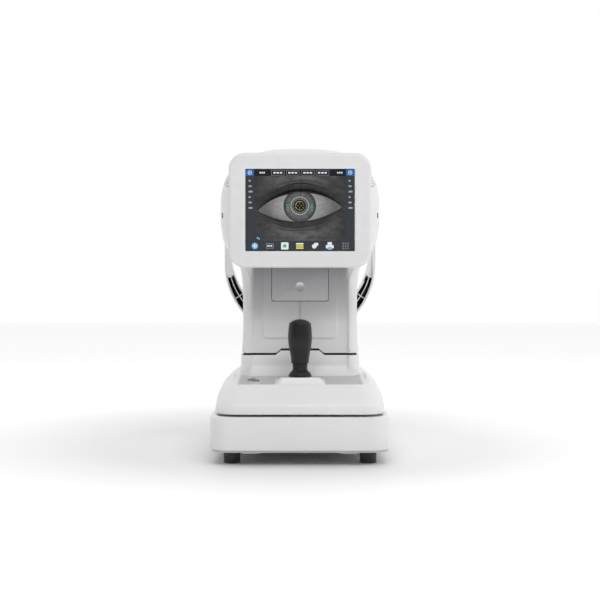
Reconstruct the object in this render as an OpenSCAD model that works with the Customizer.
// Automatic refractometer: operator at -Y, patient at +Y, standing on the plane z = 0.

/* [Base] */
// Width of the base housing
base_w = 259; // [250:1:262]
// Height of the base housing
base_h = 47; // [45:1:49]
// Height of the base housing's lower edge above the table
base_z = 22.5; // [22:0.5:24]
// Diameter of the rubber feet
foot_d = 24.3; // [18:0.1:30]

/* [Cross slide] */
// Sideways travel of the stage, each way
travel_x = 40; // [30:1:42]
// Fore and aft travel of the stage, each way
travel_y = 20; // [15:1:22]
// Module of the rack teeth
tooth_module = 1.5; // [1.5:0.1:1.6]
// Teeth on each axle wheel
wheel_teeth = 16; // [16:1:16]
// Diameter of the cross axle
axle_d = 10; // [8:1:12]

/* [Stage] */
// Width of the moving stage cover
stage_w = 245; // [235:1:250]
// Height of the stage cover's deck behind the tray
deck_top = 125; // [123:1:127]

/* [Column and head] */
// Width of the column at its waist
column_w = 178; // [176:1:182]
// Travel of the head above its lowest place
lift = 30; // [20:1:32]
// Width of the measuring head
head_w = 252; // [236:1:264]
// Height of the optical axis above the table
eye_z = 369.5; // [366:0.5:373]
// Outer radius of the lens barrel
barrel_r = 34; // [31:1:36]

/* [Screen] */
// Width of the screen bezel
bezel_w = 210; // [204:1:212]
// Height of the screen bezel
bezel_h = 169; // [163:1:170]
// Width of the visible display
display_w = 160.6; // [150:0.2:164]
// Height of the visible display
display_h = 120.8; // [112:0.2:124]

/* [Joystick] */
// Largest diameter of the joystick grip
grip_d = 36; // [30:1:38]
// Diameter of the push button on top of the grip
button_d = 27.5; // [22:0.5:28]

/* [Patient rest] */
// Outer radius of the round face frame
frame_r = 133.5; // [131:0.5:134]
// Depth of the face frame from front to back
frame_t = 32; // [26:1:32]
// Travel of the chin rest
chin_travel = 60; // [50:1:65]

/* [Hidden] */
$fn = 64;

wall = 3;             // wall of the moulded covers
run = 0.05;           // radial clearance of a shaft in its bore
eps = 0.01;           // overshoot of a cut

// Base
base_top = base_z + base_h;
base_y0 = -235;
base_y1 = 208;
pan_t = 3;
skid_z = 15.4;
bush_x = 30;          // axle bushes under the stage
well_x = travel_x + bush_x + 10;  // half width of the well in the base deck
well_y0 = -200;
well_y1 = 88;
foot_x = 99;
foot_y = [-193, 165];

// Cross slide
wheel_r = tooth_module * wheel_teeth / 2;
axle_y = 20;
axle_z = base_top - wall - wheel_r - 1.5;
rail_x = 100;
rail_w = 8;
rack_half = travel_y + 34;
rack_y0 = axle_y - rack_half;
rack_y1 = axle_y + rack_half;
pitch = PI * tooth_module;

// Stage
stage_gap = 3.2;
stage_z = base_top + stage_gap;
stage_y0 = -228;
stage_y1 = 112;
rim_y = -200;         // front rim of the tray
rim_z = 113.6;
foot_line_y = -98;    // where the deck meets the neck
foot_line_z = 121.5;
chassis_z = 78;
chassis_t = 4;
chassis_top = chassis_z + chassis_t;

// Column and neck
neck_x = 93;
neck_y0 = -92;
neck_y1 = 58;
neck_flare = 5;       // how much wider the neck is at its foot
gap_z = 150.5;        // top edge of the neck at the sides
gap_rise = 7;         // how much higher the gap runs at the front centre
gap = 3.3;
gap_step = [30, 38];  // the raised stretch's half width, and where the slope ends
waist_z = 208;        // where the column is narrowest
seam_z = 290;         // where the column covers meet the head covers
recess_x = 75;
recess_d = 4;
panel_x = 58;
panel_z = 176.5;
door_x = 44;
door_z = 234.5;
door_h = 55;
rod_x = 50;
rod_y = 20;
rod_r = 6;
lift_screw_r = 5;
sleeve_top = gap_z + gap + lift + 16;

// Head
head_b = 100;         // half height of the head's section
head_cz = 375;
head_top = head_cz + head_b;
head_n = 2.7;         // exponent of the head's rounded section
head_y0 = -140;
head_y1 = 92;

// Screen
screen_y = -180;
screen_z = 368.1;     // middle of the screen
bezel_t = 17;
hinge_y = -149;
hinge_z = 436;
hinge_pin_r = 3;

// Printer
roll_y = -50;
roll_z = 266;
roll_r = 23;
roll_x = 28.5;
platen_y = -81;
platen_z = 282;
door_pin_y = -88.3;
door_pin_z = 236.5;
door_pin_r = 1;

// Joystick
stick_y = -145;
pivot_z = 112;
foot_ball_z = 38;
foot_ball_r = 9;
shaft_r = 6;
grip_z0 = 140.6;
grip_z1 = 201;
gimbal_r = 14;
boot_z = 121.2;
boot_sphere = 21.3;   // the collar swings over the boot on this sphere about the gimbal
boss_slope = atan(3.7 / 61);

// Patient rest
frame_y0 = 146;
frame_low_z = 300;    // centre of the lower outer arc
frame_high_z = 340;   // centre of the upper arcs
frame_in_r = 123;
frame_in_z = 322;     // centre of the lower inner arc
pillar_x = 42;
pillar_top = 190;
post_y = 190;
post_w = 20;
cup_z = 235;
cup_y0 = 159;
chin_screw_r = 4;

// ---------- shared shapes ----------

// Points on an arc about [x, y].
function arc(x, y, r, a0, a1, n = 8) =
  [for (i = [0:n]) let (a = a0 + (a1 - a0) * i / n) [x + r * cos(a), y + r * sin(a)]];

// Rectangle with round corners, from its low to its high corner.
function round_rect(x0, y0, x1, y1, r, n = 8) = concat(
  arc(x1 - r, y1 - r, r, 0, 90, n), arc(x0 + r, y1 - r, r, 90, 180, n),
  arc(x0 + r, y0 + r, r, 180, 270, n), arc(x1 - r, y0 + r, r, 270, 360, n));

// Half width of a superellipse at the height dz from its centre.
function super_x(a, b, n, dz) = a * pow(max(0, 1 - pow(abs(dz) / b, n)), 1 / n);

// Mirrors a chain of points with x > 0 to make a closed outline.
function both_sides(pts) =
  concat(pts, [for (i = [len(pts) - 1:-1:0]) [-pts[i][0], pts[i][1]]]);

// Extrudes an outline in X and Z along Y.
module along_y(y0, y1) {
  translate([0, y1, 0]) rotate([90, 0, 0]) linear_extrude(y1 - y0) children();
}

// Extrudes an outline in Y and Z along X.
module along_x(x0, x1) {
  translate([x0, 0, 0]) rotate([90, 0, 90]) linear_extrude(x1 - x0) children();
}

// Block from its low to its high corner.
module block(p0, p1) {
  translate(p0) cube(p1 - p0);
}

// Cylinder along X between x0 and x1, about y, z.
module rod_x(r, x0, x1, y, z) {
  translate([x0, y, z]) rotate([0, 90, 0]) cylinder(h = x1 - x0, r = r);
}

// Cylinder along Y between y0 and y1, about x, z.
module rod_y(r, y0, y1, x, z) {
  translate([x, y0, z]) rotate([-90, 0, 0]) cylinder(h = y1 - y0, r = r);
}

module both_x() {
  children();
  mirror([1, 0, 0]) children();
}

// ---------- base ----------

module base_block(inset, z0, z1) {
  translate([0, 0, z0])
    linear_extrude(z1 - z0)
      polygon(round_rect(-base_w / 2 + inset, base_y0 + inset, base_w / 2 - inset,
                         base_y1 - inset, 30 - inset));
}

inlet_x = [44, 97];
inlet_zr = [33, 60];
port_x = [-97, -45];

module base_housing() {
  color("gainsboro")
    difference() {
      base_block(0, base_z, base_top);
      base_block(wall, base_z - eps, base_top - wall);
      block([-well_x, well_y0, base_top - 2 * wall], [well_x, well_y1, base_top + 1]);
      block([inlet_x[0], base_y1 - 2 * wall, inlet_zr[0]],
            [inlet_x[1], base_y1 + 1, inlet_zr[1]]);
      block([port_x[0], base_y1 - 2 * wall, inlet_zr[0]],
            [port_x[1], base_y1 + 1, inlet_zr[1]]);
    }
}

// Bottom pan with a skid beside each pair of feet.
module base_pan() {
  skid = [[82, base_z - pan_t], [82, skid_z], [62, skid_z], [41, base_z - pan_t]];
  color("silver")
    difference() {
      union() {
        base_block(2, base_z - pan_t, base_z);
        both_x() along_y(-216, 190) polygon(skid);
      }
      for (x = [-1, 1], y = [-150, 120])
        translate([x * 110, y, 0]) cylinder(h = base_z + 1, r = 2.2);
    }
}

module rubber_feet() {
  foot_r = foot_d / 2;
  color("dimgray")
    for (x = [-foot_x, foot_x], y = foot_y)
      translate([x, y, 0])
        rotate_extrude()
          polygon([[0, 0], [foot_r - 1.2, 0], [foot_r, 1.2], [foot_r, base_z - pan_t],
                   [0, base_z - pan_t]]);
}

module base_screws() {
  color("dimgray")
    for (x = [-1, 1], y = [-150, 120])
      translate([x * 110, y, base_z - pan_t - 2]) {
        cylinder(h = 2, r = 4);
        cylinder(h = 2 + pan_t, r = 2.2);
      }
}

// Tooth outline of the rack in Y and Z, wide at its foot.
function rack_tooth(y) = [
  [y - 1.45, -1.9], [y - 0.45, 1.1], [y + 0.45, 1.1], [y + 1.45, -1.9]];

module rack_rails() {
  rack_z = axle_z - wheel_r;
  teeth = floor((rack_y1 - rack_y0) / 2 / pitch) - 1;
  outline = concat(
    [[rack_y0, base_z], [rack_y0, rack_z - 1.9]],
    [for (i = [-teeth:teeth], p = rack_tooth(axle_y + i * pitch)) [p[0], rack_z + p[1]]],
    [[rack_y1, rack_z - 1.9], [rack_y1, base_z]]);
  color("lightsteelblue")
    both_x() along_x(rail_x - rail_w / 2, rail_x + rail_w / 2) polygon(outline);
}

module slide_pad() {
  color("dimgray")
    block([-66, -190, base_z], [66, -100, foot_ball_z - foot_ball_r - 0.3]);
}

rocker_x = 88;
rocker_w = 12;
rocker_z = 46.5;
rocker_h = 19;
rocker_pin_r = 1.2;
rocker_pin_y = base_y1 - 5;

module power_inlet() {
  color("dimgray")
    difference() {
      union() {
        block([inlet_x[0], base_y1 - wall, inlet_zr[0]],
              [inlet_x[1], base_y1, inlet_zr[1]]);
        block([inlet_x[0] + 1, base_y1 - 24, inlet_zr[0] + 1],
              [inlet_x[1] - 1, base_y1 - wall, inlet_zr[1] - 1]);
      }
      block([48, base_y1 - 17, 37], [75, base_y1 + 1, 56]);
      block([rocker_x - rocker_w / 2 - 0.5, base_y1 - 18, rocker_z - rocker_h / 2 - 0.6],
            [rocker_x + rocker_w / 2 + 0.5, base_y1 + 1, rocker_z + rocker_h / 2 + 0.6]);
      rod_x(rocker_pin_r + run, rocker_x - rocker_w / 2 - 2, rocker_x + rocker_w / 2 + 2,
            rocker_pin_y, rocker_z);
    }
}

module power_rocker() {
  half = rocker_h / 2;
  color("black") {
    rod_x(rocker_pin_r, rocker_x - rocker_w / 2 - 1.8, rocker_x + rocker_w / 2 + 1.8,
          rocker_pin_y, rocker_z);
    along_x(rocker_x - rocker_w / 2, rocker_x + rocker_w / 2)
      polygon([[base_y1 - 12, rocker_z - 5], [base_y1 - 3.5, rocker_z - half],
               [base_y1 - 0.3, rocker_z - half], [base_y1 - 2.6, rocker_z],
               [base_y1 - 0.3, rocker_z + half], [base_y1 - 3.5, rocker_z + half],
               [base_y1 - 12, rocker_z + 5]]);
  }
}

module power_supply() {
  color("silver") {
    block([-92, 98, base_z], [20, 178, 60]);
  }
}

module port_panel() {
  color("gray")
    difference() {
      union() {
        block([port_x[0], base_y1 - wall, inlet_zr[0]],
              [port_x[1], base_y1 - 0.5, inlet_zr[1]]);
        block([port_x[0] + 2, base_y1 - 20, inlet_zr[0] + 2],
              [port_x[1] - 2, base_y1 - wall, inlet_zr[1] - 2]);
      }
      block([-92, base_y1 - 14, 40], [-78, base_y1, 53]);
      block([-72, base_y1 - 10, 41], [-50, base_y1, 52]);
    }
}

// ---------- patient rest ----------

function frame_outline(r_low, z_low, r_high, z_high) =
  concat(arc(0, z_high, r_high, 0, 180, 32), arc(0, z_low, r_low, 180, 360, 40));

module frame_ring(y0, y1, edge) {
  difference() {
    along_y(y0, y1)
      polygon(frame_outline(frame_r - edge, frame_low_z, frame_r - edge, frame_high_z));
    along_y(y0 - 1, y1 + 1)
      polygon(frame_outline(frame_in_r + edge, frame_in_z, frame_in_r + edge,
                            frame_high_z));
  }
}

// The hollows in the device side of the frame, below the shoulder of the arms.
pocket_edge = 3;
pocket_top = 276;
pocket_d = 20;
mid_rib_r = 127.5;
mid_rib_z = 311;
rib_t = 1.2;
module frame_pockets(y0, y1) {
  rib_angles = [-146, -118, -62, -34];
  difference() {
    frame_ring(y0, y1, pocket_edge);
    block([-200, y0 - 2, pocket_top], [200, y1 + 2, 600]);
    block([-pillar_x, y0 - 2, 0], [pillar_x, y1 + 2, 200]);
    for (a = rib_angles)
      translate([0, y0 - 1, frame_in_z - 6])
        rotate([0, -a, 0]) translate([60, 0, -rib_t / 2]) cube([120, y1 - y0 + 2, rib_t]);
    along_y(y0 - 1, y1 + 1)
      difference() {
        polygon(frame_outline(mid_rib_r + rib_t / 2, mid_rib_z, mid_rib_r + rib_t / 2,
                              frame_high_z));
        polygon(frame_outline(mid_rib_r - rib_t / 2, mid_rib_z, mid_rib_r - rib_t / 2,
                              frame_high_z));
      }
  }
}

module face_frame() {
  color("gainsboro")
    difference() {
      frame_ring(frame_y0, frame_y0 + frame_t, 0);
      frame_pockets(frame_y0 - 1, frame_y0 + pocket_d);
    }
}

module pocket_liners() {
  color("black")
    frame_pockets(frame_y0 + pocket_d - 3, frame_y0 + pocket_d);
}

module chin_pillar() {
  color("gainsboro")
    difference() {
      translate([0, 0, base_top])
        linear_extrude(pillar_top - base_top)
          polygon(round_rect(-pillar_x, frame_y0, pillar_x, base_y1, 10));
      along_y(frame_y0 - 1, frame_y0 + frame_t)
        polygon(frame_outline(frame_r, frame_low_z, frame_r, frame_high_z));
      block([-post_w / 2 - 0.2, post_y - post_w / 2 - 0.2, base_top + 22],
            [post_w / 2 + 0.2, post_y + post_w / 2 + 0.2, pillar_top + 1]);
      block([-16, 175, base_top - 1], [16, 205, base_top + 22 + eps]);
    }
}

module chin_motor() {
  color("dimgray") {
    block([-15, 176, base_top], [15, 204, base_top + 18]);
    translate([0, post_y, base_top + 18]) cylinder(h = 2, r = 8);
  }
}

module chin_screw() {
  color("lightsteelblue")
    translate([0, post_y, base_top + 20.5]) cylinder(h = chin_travel + 28, r = chin_screw_r);
}

module chin_post() {
  nut_z = base_top + 30;
  color("gainsboro")
    difference() {
      block([-post_w / 2, post_y - post_w / 2, nut_z],
            [post_w / 2, post_y + post_w / 2, cup_z]);
      translate([0, post_y, nut_z - 1]) cylinder(h = 20, r = chin_screw_r + run);
      translate([0, post_y, nut_z + 15]) cylinder(h = cup_z - nut_z - 20, r = 6.5);
    }
}

module chin_cup() {
  dish_r = 65;
  color("whitesmoke")
    difference() {
      translate([0, 0, cup_z])
        linear_extrude(21) polygon(round_rect(-38, cup_y0, 38, 235, 18));
      translate([0, 198, cup_z + 21 + 55]) sphere(r = dish_r, $fn = 96);
      for (x = [-30, 30])
        translate([x, cup_y0 + 7, cup_z + 11]) cylinder(h = 20, r = 1.5);
    }
}

module paper_pins() {
  color("silver")
    for (x = [-30, 30])
      translate([x, cup_y0 + 7, cup_z + 11]) {
        cylinder(h = 24, r = 1.5);
        translate([0, 0, 24]) cylinder(h = 3, r = 2.6);
      }
}

module forehead_bracket() {
  top_z = frame_high_z + frame_in_r;
  color("gainsboro")
    difference() {
      along_y(166, 172) polygon(round_rect(-46, 422, 46, 470, 6));
      frame_ring(160, 180, 0);
      along_y(160, 180)
        polygon(concat(arc(0, frame_high_z, 140, 60, 120, 16),
                       arc(0, frame_high_z, frame_in_r, 120, 60, 16)));
      block([-30, 160, 452], [30, 180, top_z - 6]);
    }
}

module forehead_rest() {
  color("lightsteelblue")
    along_x(-56, 56) polygon(round_rect(172, 418, 190, 448, 7));
}

module eye_level_marks() {
  mark_y = frame_y0 + frame_t;
  color("black")
    both_x() block([frame_in_r + 1, mark_y, eye_z + 14.2],
                   [frame_r - 1, mark_y + 0.4, eye_z + 15.8]);
}

// ---------- cross slide ----------

plate_x = [84, 92];
plate_y = [0, 40];

module axle_carriage() {
  color("silver")
    difference() {
      union() {
        both_x() block([plate_x[0], plate_y[0], 45], [plate_x[1], plate_y[1], 66]);
        block([-plate_x[0], plate_y[1] - 6, 50], [plate_x[0], plate_y[1], 60]);
      }
      rod_x(axle_d / 2 + run, -plate_x[1] - 1, plate_x[1] + 1, axle_y, axle_z);
    }
}

module cross_axle() {
  color("lightsteelblue") rod_x(axle_d / 2, -108, 108, axle_y, axle_z);
}

// Outline of a toothed wheel with a gap pointing down onto the rack's middle tooth.
function wheel_outline() = [
  for (i = [0:wheel_teeth - 1], p = [[-1.7, -1.15], [1.05, -0.5], [1.05, 0.5], [-1.7, 1.15]])
    let (a = (i + 0.5) * 360 / wheel_teeth - 90, r = wheel_r + p[0])
      [r * cos(a) - p[1] * sin(a), r * sin(a) + p[1] * cos(a)]];

module pinion_wheels() {
  color("silver")
    both_x()
      difference() {
        translate([0, axle_y, axle_z])
          along_x(rail_x - rail_w / 2, rail_x + rail_w / 2) polygon(wheel_outline());
        rod_x(axle_d / 2, rail_x - rail_w, rail_x + rail_w, axle_y, axle_z);
      }
}

// ---------- stage ----------

function deck_side(t) = [
  [stage_y0 + t, stage_z - (t > 0 ? 1 : 0)], [stage_y0 + t, 84], [stage_y0 + 2 + t, 88 - t / 3],
  [rim_y + t / 3, rim_z - t], [foot_line_y, foot_line_z - t], [-60, deck_top - t],
  [95 - t / 2, deck_top - t], [stage_y1 - t, 108 - t / 2],
  [stage_y1 - t, stage_z - (t > 0 ? 1 : 0)]];

function deck_front(t) = both_sides([
  [stage_w / 2 - t, stage_z - (t > 0 ? 1 : 0)], [stage_w / 2 - 0.5 - t, 90],
  [stage_w / 2 - 3 - t, 105 - t / 3], [stage_w / 2 - 11.5 - t, 118 - t / 2],
  [100 - t, deck_top - t]]);

module stage_block(t) {
  intersection() {
    translate([0, 0, stage_z - 2])
      linear_extrude(60)
        polygon(round_rect(-stage_w / 2 + t, stage_y0 + t, stage_w / 2 - t, stage_y1 - t,
                           34 - t));
    along_x(-140, 140) polygon(deck_side(t));
    along_y(-240, 140) polygon(deck_front(t));
  }
}

// Seen from above, the stage cover is open under the neck and under the boss.
module stage_cover() {
  color("gainsboro")
    difference() {
      stage_block(0);
      stage_block(2.5);
      block([-86.5, -85, 100], [86.5, 52, 140]);
      block([-26, -160, 100], [26, -130, 140]);
    }
}

// The neck's edge grows wider towards its foot.
function neck_edge(x, sign) = [
  [x + sign * neck_flare, 100], [x + sign * neck_flare, 124], [x + sign * 3, 129],
  [x + sign * 1.2, 139], [x, gap_z], [x, 200]];

module neck_block(t) {
  x = neck_x - t;
  y0 = neck_y0 + t;
  y1 = neck_y1 - t;
  intersection() {
    translate([0, 0, 100])
      linear_extrude(100)
        polygon(round_rect(-x - neck_flare, y0 - neck_flare, x + neck_flare, y1 + neck_flare,
                           20 - t));
    along_y(-140, 140) polygon(both_sides(neck_edge(x, 1)));
    along_x(-140, 140) {
      back = neck_edge(y1, 1);
      polygon(concat(neck_edge(y0, -1), [for (i = [len(back) - 1:-1:0]) back[i]]));
    }
  }
}

// The stepped line of the gap seen from the front.
function gap_line(z) = [
  [neck_x + 20, z], [gap_step[1], z], [gap_step[0], z + gap_rise],
  [-gap_step[0], z + gap_rise], [-gap_step[1], z], [-neck_x - 20, z]];

module neck_collar() {
  color("gainsboro")
    difference() {
      neck_block(0);
      neck_block(wall + 1);
      block([-140, -140, 99], [140, 140, foot_line_z - 6]);
      stage_block(0);
      along_y(-140, -60)
        polygon(concat(gap_line(gap_z), [[-neck_x - 20, 200], [neck_x + 20, 200]]));
      block([-140, -60 - eps, gap_z], [140, 140, 200]);
    }
}

module stage_chassis() {
  color("silver")
    difference() {
      union() {
        translate([0, 0, chassis_z])
          linear_extrude(chassis_t)
            polygon(round_rect(-stage_w / 2 + 4, stage_y0 + 4, stage_w / 2 - 4,
                               stage_y1 - 4, 28));
        both_x() block([bush_x - 6, axle_y - 11, axle_z - 11],
                       [bush_x + 6, axle_y + 11, chassis_z]);
      }
      rod_x(9, -bush_x - 7, bush_x + 7, axle_y, axle_z);
      translate([0, stick_y, chassis_z - 1]) cylinder(h = chassis_t + 2, r = 16);
    }
}

module axle_bushes() {
  color("goldenrod")
    both_x()
      difference() {
        rod_x(9, bush_x - 10, bush_x + 10, axle_y, axle_z);
        rod_x(axle_d / 2 + run, bush_x - 11, bush_x + 11, axle_y, axle_z);
      }
}

function boss_side() = [[rim_y, rim_z - 2], [rim_y, rim_z], [-191, 122.7], [-130, 119],
                        [-128, 116]];

module joystick_boss() {
  color("gainsboro")
    difference() {
      intersection() {
        along_x(-45, 45) polygon(boss_side());
        along_y(-205, -120)
          polygon([[39.5, 113], [30, 123], [-30, 123], [-39.5, 113]]);
      }
      stage_block(0);
      block([-25, -159, 100], [25, -131, 118.6]);
      translate([0, stick_y, 100]) cylinder(h = 40, r = 12);
    }
}

module joystick_boot() {
  foot = boot_z - pivot_z;
  color("black")
    difference() {
      translate([0, stick_y, pivot_z])
        rotate_extrude()
          polygon(concat([[17.8, foot], [17.8, foot + 1.5]], arc(0, 0, boot_sphere, 42, 59.5),
                         arc(0, 0, boot_sphere - 2, 56, 41), [[15, foot]]));
      translate([0, stick_y, boot_z])
        rotate([-boss_slope, 0, 0]) translate([-30, -30, -5]) cube([60, 60, 5]);
    }
}

module guide_rods() {
  color("lightsteelblue")
    for (x = [-rod_x, rod_x])
      translate([x, rod_y, chassis_top]) cylinder(h = lift + 160, r = rod_r);
}

module lift_motor() {
  color("dimgray")
    translate([0, rod_y, chassis_top]) {
      linear_extrude(38) polygon(round_rect(-21, -21, 21, 21, 4));
      translate([0, 0, 38]) cylinder(h = 2, r = 11);
    }
}

module lift_screw() {
  color("lightsteelblue")
    translate([0, rod_y, chassis_top + 41]) cylinder(h = lift + 110, r = lift_screw_r);
}

module control_board() {
  color("seagreen") {
    block([-76, -62, 90], [-26, -2, 91.6]);
    for (x = [-72, -30], y = [-58, -6]) translate([x, y, chassis_top]) cylinder(h = 8, r = 2.5);
    block([-66, -50, 91.6], [-48, -32, 94]);
    block([-44, -24, 91.6], [-32, -10, 98]);
  }
}

module column_sleeve() {
  color("black")
    translate([0, 0, chassis_top])
      linear_extrude(sleeve_top - chassis_top)
        difference() {
          polygon(round_rect(-84, -83, 84, 50, 12));
          polygon(round_rect(-82, -81, 82, 48, 10));
        }
}

module gimbal_seat() {
  post_x0 = gimbal_r + 3;
  color("silver")
    difference() {
      union() {
        both_x() block([post_x0, stick_y - 5, chassis_top], [post_x0 + 6, stick_y + 5, 116.5]);
        difference() {
          block([-post_x0 - 6, stick_y - 26, chassis_top],
                [post_x0 + 6, stick_y + 26, chassis_top + 3]);
          translate([0, stick_y, chassis_top - 1]) cylinder(h = 6, r = 16);
        }
      }
      rod_x(2 + run, -40, 40, stick_y, pivot_z);
    }
}

module gimbal_ring() {
  color("goldenrod")
    difference() {
      union() {
        translate([0, stick_y, pivot_z - 3]) cylinder(h = 6, r = gimbal_r);
        rod_x(2, -gimbal_r - 8, gimbal_r + 8, stick_y, pivot_z);
      }
      translate([0, stick_y, pivot_z - 5]) cylinder(h = 10, r = 10);
      rod_y(2 + run, stick_y - 20, stick_y + 20, 0, pivot_z);
    }
}

module joystick_shaft() {
  color("lightsteelblue") {
    translate([0, stick_y, foot_ball_z]) sphere(r = foot_ball_r);
    translate([0, stick_y, foot_ball_z]) cylinder(h = grip_z0 + 16.4 - foot_ball_z, r = shaft_r);
    translate([0, stick_y, pivot_z - 5]) cylinder(h = 10, r = 7);
    rod_y(2, stick_y - gimbal_r + 1, stick_y + gimbal_r - 1, 0, pivot_z);
  }
}

module joystick_collar() {
  top = grip_z0 - pivot_z - 0.3;
  reach = boot_sphere + 0.6;
  color("black")
    translate([0, stick_y, pivot_z])
      rotate_extrude()
        polygon(concat(arc(0, 0, reach, 56, acos(shaft_r / reach)),
                       [[shaft_r, top], [11.4, top], [10.6, 20.4], [12.3, 18.9]]));
}

// Outer half width of the grip at a share f of its height.
function grip_r(f) = f < 0.64
  ? 13 + (grip_d / 2 - 13) * (1 - cos(180 * f / 0.64)) / 2
  : grip_d / 2 - (grip_d / 2 - 16) * pow((f - 0.64) / 0.36, 2);

module joystick_grip() {
  h = grip_z1 - grip_z0;
  side = [for (i = [0:12]) [grip_r(i / 12), h * i / 12]];
  color("black")
    translate([0, stick_y, grip_z0])
      difference() {
        rotate_extrude()
          polygon(concat([[0, 0]], side, [[button_d / 2 + 0.6, h + 1.4], [0, h + 1.4]]));
        translate([0, 0, -1]) cylinder(h = 18.2, r = shaft_r + run);
        translate([0, 0, h - 3]) cylinder(h = 10, r = button_d / 2 + 0.3);
        translate([0, 0, h - 14]) cylinder(h = 12, r = 4.3);
      }
}

// Domed push button with a stem that runs in the grip.
module measure_button() {
  h = grip_z1 - grip_z0;
  dome_r = 26;
  top_z = h + 6.4;
  color("black")
    translate([0, stick_y, grip_z0]) {
      intersection() {
        translate([0, 0, h]) cylinder(h = 8, r = button_d / 2);
        translate([0, 0, top_z - dome_r]) sphere(r = dome_r);
      }
      translate([0, 0, h - 11]) cylinder(h = 12, r = 4);
    }
}

module chin_switch() {
  base = 116.6;
  color("gray") {
    rod_y(1.6, -181, -171, -68.4, base + 1.6);
    along_y(-181, -171)
      polygon([[-77.5, base + 1.2], [-75, base + 0.4], [-62, base + 0.4], [-59.3, base + 1.2],
               [-60.5, base + 2.8], [-65, base + 3.4], [-66.5, base + 4.8],
               [-70.5, base + 4.8], [-72, base + 3.4], [-76.4, base + 3.6]]);
  }
}

// ---------- column ----------

// The column's outline from the front: waisted, and wider at its foot and under the head.
function column_half(z) =
  let (f = (z - waist_z) / (z < waist_z ? waist_z - gap_z : seam_z - waist_z))
    column_w / 2 + (z < waist_z ? 2.4 * pow(f, 2) : 1.4 * pow(f, 2) + 4 * pow(f, 5));

column_steps = 12;
function column_front(t) = both_sides(
  [for (i = [0:column_steps])
    let (z = gap_z + (seam_z - gap_z) * i / column_steps) [column_half(z) - t, z]]);

module column_block(t) {
  intersection() {
    translate([0, 0, gap_z])
      linear_extrude(seam_z - gap_z)
        polygon(round_rect(-110, neck_y0 + t, 110, neck_y1 - t, 1));
    along_y(-140, 140) polygon(column_front(t));
    translate([0, 0, gap_z - 1])
      linear_extrude(seam_z - gap_z + 2)
        polygon(round_rect(-column_half(seam_z) + t, neck_y0 + t, column_half(seam_z) - t,
                           neck_y1 - t, 20 - t));
  }
}

module column_shell() {
  panel_y = neck_y0 + 2;
  difference() {
    union() {
      difference() {
        column_block(0);
        block([-recess_x, neck_y0 - 1, gap_z - 1], [recess_x, neck_y0 + recess_d, seam_z + 1]);
      }
      block([-panel_x, panel_y, panel_z], [panel_x, neck_y0 + recess_d + 1, seam_z]);
    }
    difference() {
      column_block(wall);
      block([-recess_x - wall, neck_y0 - 1, gap_z - 1],
            [recess_x + wall, neck_y0 + recess_d + wall, seam_z + 1]);
    }
    translate([0, 0, seam_z - eps]) linear_extrude(10) square(300, center = true);
    block([-door_x - 0.5, neck_y0 - 1, door_z - 0.4], [door_x + 0.5, -70, seam_z + 1]);
    along_y(-140, -60)
      polygon(concat(gap_line(gap_z + gap), [[-neck_x - 20, 100], [neck_x + 20, 100]]));
    block([-140, -60 - eps, 100], [140, 140, gap_z + gap]);
    rod_x(door_pin_r + run, -door_x - 4, door_x + 4, door_pin_y, door_pin_z);
  }
}

module half(side) {
  intersection() {
    children();
    block([side > 0 ? 0 : -300, -300, 0], [side > 0 ? 300 : 0, 300, 600]);
  }
}

module column_cover_left() {
  color("gainsboro") half(-1) column_shell();
}

module column_cover_right() {
  color("gainsboro") half(1) column_shell();
}

// ---------- head ----------

head_steps = 14;
function head_front(t) = both_sides(
  concat([[column_half(seam_z) - t, seam_z - (t > 0 ? 1 : 0)]],
    [for (i = [1:head_steps])
      let (a = -60 + 150 * i / head_steps, dz = (head_b - t) * sin(a))
        [super_x(head_w / 2 - t, head_b - t, head_n, dz), head_cz + dz]]));

function head_side(t) = [
  [neck_y0 + t, seam_z - (t > 0 ? 1 : 0)], [head_y0 + 12 + t, 308 + t / 2], [head_y0 + t, 330],
  [head_y0 + t, 440], [head_y0 + 12 + t, 459 - t / 2], [head_y0 + 50, head_top - t],
  [40, head_top - t], [76 - t / 2, 460 - t], [head_y1 - t, 436 - t / 2],
  [head_y1 - t, 318], [neck_y1 - t + 14, 298],
  [neck_y1 - t, seam_z - (t > 0 ? 1 : 0)]];

function head_plan(t) = both_sides([
  [100 - t, head_y0 - 1], [112 - t, head_y0 + 14], [123 - t, head_y0 + 44],
  [head_w / 2 - t, head_y0 + 80], [head_w / 2 - t, 20], [118 - t, 60], [98 - t, head_y1 + 1]]);

module head_block(t) {
  intersection() {
    along_y(head_y0 - 5, head_y1 + 5) polygon(head_front(t));
    along_x(-140, 140) polygon(head_side(t));
    translate([0, 0, seam_z - 5]) linear_extrude(200) polygon(head_plan(t));
  }
}

module head_shell() {
  difference() {
    head_block(0);
    head_block(wall);
    block([-48, head_y0 - 5, 426], [48, head_y0 + 10, 443]);
    rod_y(46, 60, head_y1 + 5, 0, eye_z);
    for (i = [0:4], side = [-1, 1])
      translate([side * 112, -20 - 9 * i, 432])
        rotate([0, side * 35, 0]) cube([60, 3.5, 26], center = true);
  }
}

module head_cover_left() {
  color("gainsboro") half(-1) head_shell();
}

module head_cover_right() {
  color("gainsboro") half(1) head_shell();
}

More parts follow.
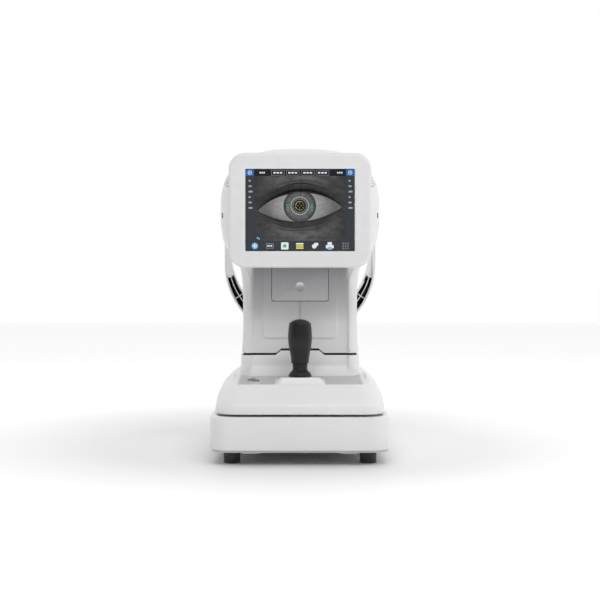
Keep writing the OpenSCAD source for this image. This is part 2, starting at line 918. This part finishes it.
module head_frame() {
  slider_z = 200;
  deck_z = 300;
  front_y = -104;
  back_y = 68;
  t = 4;
  color("silver")
    difference() {
      union() {
        block([-78, front_y, deck_z], [78, back_y, deck_z + t]);
        both_x() block([62, rod_y - 25, slider_z + 6], [66, rod_y + 25, deck_z]);
        block([-66, rod_y - 25, slider_z + 6], [66, rod_y + 25, slider_z + 12]);
        for (x = [-rod_x, rod_x])
          translate([x, rod_y, slider_z]) cylinder(h = 36, r = rod_r + 5);
        translate([0, rod_y, slider_z]) cylinder(h = 20, r = 11);
        block([-60, front_y, deck_z], [60, front_y + t, hinge_z + 10]);
        for (x = [-38, 38]) {
          block([x - t, hinge_y, hinge_z - 6], [x + t, front_y, hinge_z + 3]);
          rod_x(6, x - t, x + t, hinge_y, hinge_z);
        }
        for (y = [-44, 48]) block([-22, y, deck_z + t], [22, y + 7, eye_z - barrel_r + 8]);
      }
      for (x = [-rod_x, rod_x])
        translate([x, rod_y, slider_z - 1]) cylinder(h = 38, r = rod_r + run);
      translate([0, rod_y, slider_z - 1]) cylinder(h = 24, r = lift_screw_r + run);
      rod_x(hinge_pin_r + run, -50, 50, hinge_y, hinge_z);
      rod_y(barrel_r, -60, 90, 0, eye_z);
    }
}

module lens_barrel() {
  color("dimgray")
    difference() {
      rod_y(barrel_r, -62, 84, 0, eye_z);
      rod_y(barrel_r - 4, -58, 85, 0, eye_z);
    }
}

module objective_lens() {
  color("lightcyan")
    intersection() {
      rod_y(barrel_r - 4, 66, 80, 0, eye_z);
      translate([0, 12, eye_z]) sphere(r = 66, $fn = 96);
    }
}

module nose_ring() {
  color("dimgray")
    translate([0, 0, eye_z])
      rotate([-90, 0, 0])
        rotate_extrude()
          polygon([[36, 86], [45.7, 86], [45.7, 93], [48, 93], [43, 110], [41, 112], [34, 112],
                   [34, 109], [36, 109]]);
}

module front_window() {
  color("lightcyan") rod_y(36, 105, 109, 0, eye_z);
}

module camera_board() {
  color("seagreen") {
    block([-30, -66, eye_z - 30], [30, -64, eye_z + 30]);
    rod_y(14, -64, -62, 0, eye_z);
  }
}

module printer_case() {
  color("dimgray")
    difference() {
      block([-40, -75, 236], [40, -24, 298]);
      block([-32, -80, 240], [32, -26, 299]);
      rod_x(4 + run, -41, 41, roll_y, roll_z);
    }
  color("dimgray") block([-60, -40, 298], [60, -24, 300]);
}

module paper_roll() {
  color("white") {
    rod_x(roll_r, -roll_x, roll_x, roll_y, roll_z);
    rod_x(4, -43, 43, roll_y, roll_z);
  }
}

module printer_door() {
  plate_y0 = neck_y0 + 1.5;
  color("gainsboro")
    difference() {
      union() {
        block([-door_x, plate_y0, door_pin_z], [door_x, plate_y0 + 3, door_z + door_h]);
        rod_x(2, -door_x, door_x, door_pin_y, door_pin_z);
        rod_x(door_pin_r, -door_x - 3, door_x + 3, door_pin_y, door_pin_z);
        both_x() block([31, plate_y0 + 3, platen_z - 5], [35, platen_y + 4, platen_z + 5]);
      }
      rod_x(1.5 + run, -36, 36, platen_y, platen_z);
    }
}

module platen_roller() {
  color("black") {
    rod_x(4.4, -29, 29, platen_y, platen_z);
    rod_x(1.5, -35, 35, platen_y, platen_z);
  }
}

// ---------- screen ----------

module screen_plate(w, h, r, y0, y1) {
  along_y(y0, y1)
    polygon(round_rect(-w / 2, screen_z - h / 2, w / 2, screen_z + h / 2, r));
}

module screen_bezel() {
  color("gainsboro")
    difference() {
      screen_plate(bezel_w, bezel_h, 24, screen_y, screen_y + bezel_t);
      screen_plate(display_w, display_h, 1, screen_y - 1, screen_y + 5);
      screen_plate(display_w + 10, display_h + 10, 2, screen_y + 1.6, screen_y + bezel_t - 7);
      screen_plate(bezel_w - 6, bezel_h - 6, 21, screen_y + 8, screen_y + bezel_t + 1);
    }
}

module touch_panel() {
  color("darkslategray")
    screen_plate(display_w + 10, display_h + 10, 2, screen_y + 1.6, screen_y + 8);
}

module screen_back() {
  back_y = screen_y + bezel_t;
  color("gainsboro")
    difference() {
      union() {
        screen_plate(bezel_w - 2, bezel_h - 2, 23, back_y, back_y + 3);
        screen_plate(bezel_w - 30, bezel_h - 30, 16, back_y + 3, back_y + 7);
        for (x = [-27, 27]) {
          rod_x(6, x - 5, x + 5, hinge_y, hinge_z);
          block([x - 5, back_y + 6, hinge_z - 6], [x + 5, hinge_y, hinge_z + 6]);
        }
      }
      rod_x(hinge_pin_r, -50, 50, hinge_y, hinge_z);
    }
}

module screen_hinge_pin() {
  color("lightsteelblue") rod_x(hinge_pin_r, -44, 44, hinge_y, hinge_z);
}

base_housing();
base_pan();
rubber_feet();
base_screws();
rack_rails();
slide_pad();
power_inlet();
power_supply();
port_panel();
chin_pillar();
face_frame();
pocket_liners();
forehead_bracket();
forehead_rest();
eye_level_marks();
chin_motor();
power_rocker();
chin_cup();
chin_post();
paper_pins();
chin_screw();
axle_carriage();
cross_axle();
pinion_wheels();
stage_cover();
neck_collar();
stage_chassis();
axle_bushes();
joystick_boss();
joystick_boot();
guide_rods();
lift_motor();
control_board();
column_sleeve();
gimbal_seat();
chin_switch();
gimbal_ring();
joystick_shaft();
joystick_collar();
joystick_grip();
measure_button();
lift_screw();
column_cover_left();
column_cover_right();
head_cover_left();
head_cover_right();
head_frame();
lens_barrel();
objective_lens();
nose_ring();
front_window();
camera_board();
printer_case();
screen_bezel();
screen_back();
touch_panel();
screen_hinge_pin();
printer_door();
platen_roller();
paper_roll();
